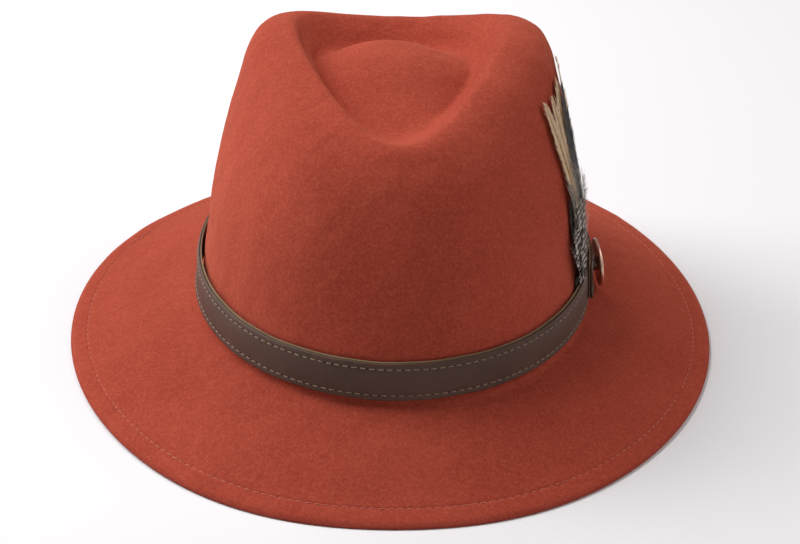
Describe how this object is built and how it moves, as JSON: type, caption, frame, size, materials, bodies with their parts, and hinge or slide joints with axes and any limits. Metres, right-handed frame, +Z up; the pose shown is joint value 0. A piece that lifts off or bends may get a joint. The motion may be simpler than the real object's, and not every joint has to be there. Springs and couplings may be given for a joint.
{
  "type": "felt fedora hat",
  "caption": "Wool felt fedora with a teardrop crown, a flat sloping brim with an edge stitch, a stitched leather band, a stud badge and a feather mount.",
  "frame": {"origin": "centre of the bounding box's base, on the table plane under the brim, without the feathers and badge, which stay inside the brim's outline", "axes": "+Z up; -Y the hat's front; +X the wearer's left, where the badge and the feathers are"},
  "size_m": [0.2978, 0.3172, 0.136],
  "materials": {
    "felt": "velvety rust red wool felt with short fibres",
    "brim_thread": "rust orange sewing thread",
    "sweatband_leather": "smooth brown",
    "reed": "covered in brown tape",
    "lining": "satin",
    "ribbon": "ribbed ribbon",
    "label": "plain woven",
    "strap_leather": "waxed dark brown grain",
    "strap_backing": "raw tan split leather",
    "strap_thread": "pale tan waxed thread",
    "badge_metal": "polished rose gold plating",
    "screw_metal": "satin",
    "mount_leather": "matt dark brown",
    "feather_grey": "grey down",
    "feather_dark": "dark brown vane",
    "feather_cream": "cream and tan hackle",
    "feather_speckled": "black with white spots"
  },
  "bodies": {
    "hat": {"felt_body": "felt", "brim_needle_thread": "brim_thread", "brim_bobbin_thread": "brim_thread", "sweatband": "sweatband_leather", "sweatband_reed": "reed", "sweatband_thread": "strap_thread", "sweatband_bow": "ribbon", "size_label": "label", "lining_wall": "lining", "lining_tip": "lining"},
    "band": {"band_strap": "strap_leather", "band_backing": "strap_backing", "band_upper_thread": "strap_thread", "band_lower_thread": "strap_thread"},
    "badge": {"badge_disc": "badge_metal", "badge_screw": "screw_metal", "badge_washer": "screw_metal"},
    "feather": {"feather_tab": "mount_leather", "feather_binding": "mount_leather", "feather_grey_fluff": "feather_grey", "feather_dark_long": "feather_dark", "feather_cream_back": "feather_cream", "feather_cream_middle": "feather_cream", "feather_cream_front": "feather_cream", "feather_speckled_long": "feather_speckled", "feather_speckled_short": "feather_speckled"}
  },
  "joints": [
    {"name": "band_lift", "type": "slide", "parent": "hat", "child": "band", "axis": [0, 0, 1], "range_m": [0, 0.125]},
    {"name": "badge_turn", "type": "hinge", "parent": "band", "child": "badge", "pos_m": [0.08712, 0.0034, 0.03353], "axis": [0.9871, 0.1212, 0.1045], "continuous": true},
    {"name": "feather_pull", "type": "slide", "parent": "band", "child": "feather", "axis": [-0.0695, 0.0506, 0.9963], "range_m": [0, 0.07]}
  ]
}
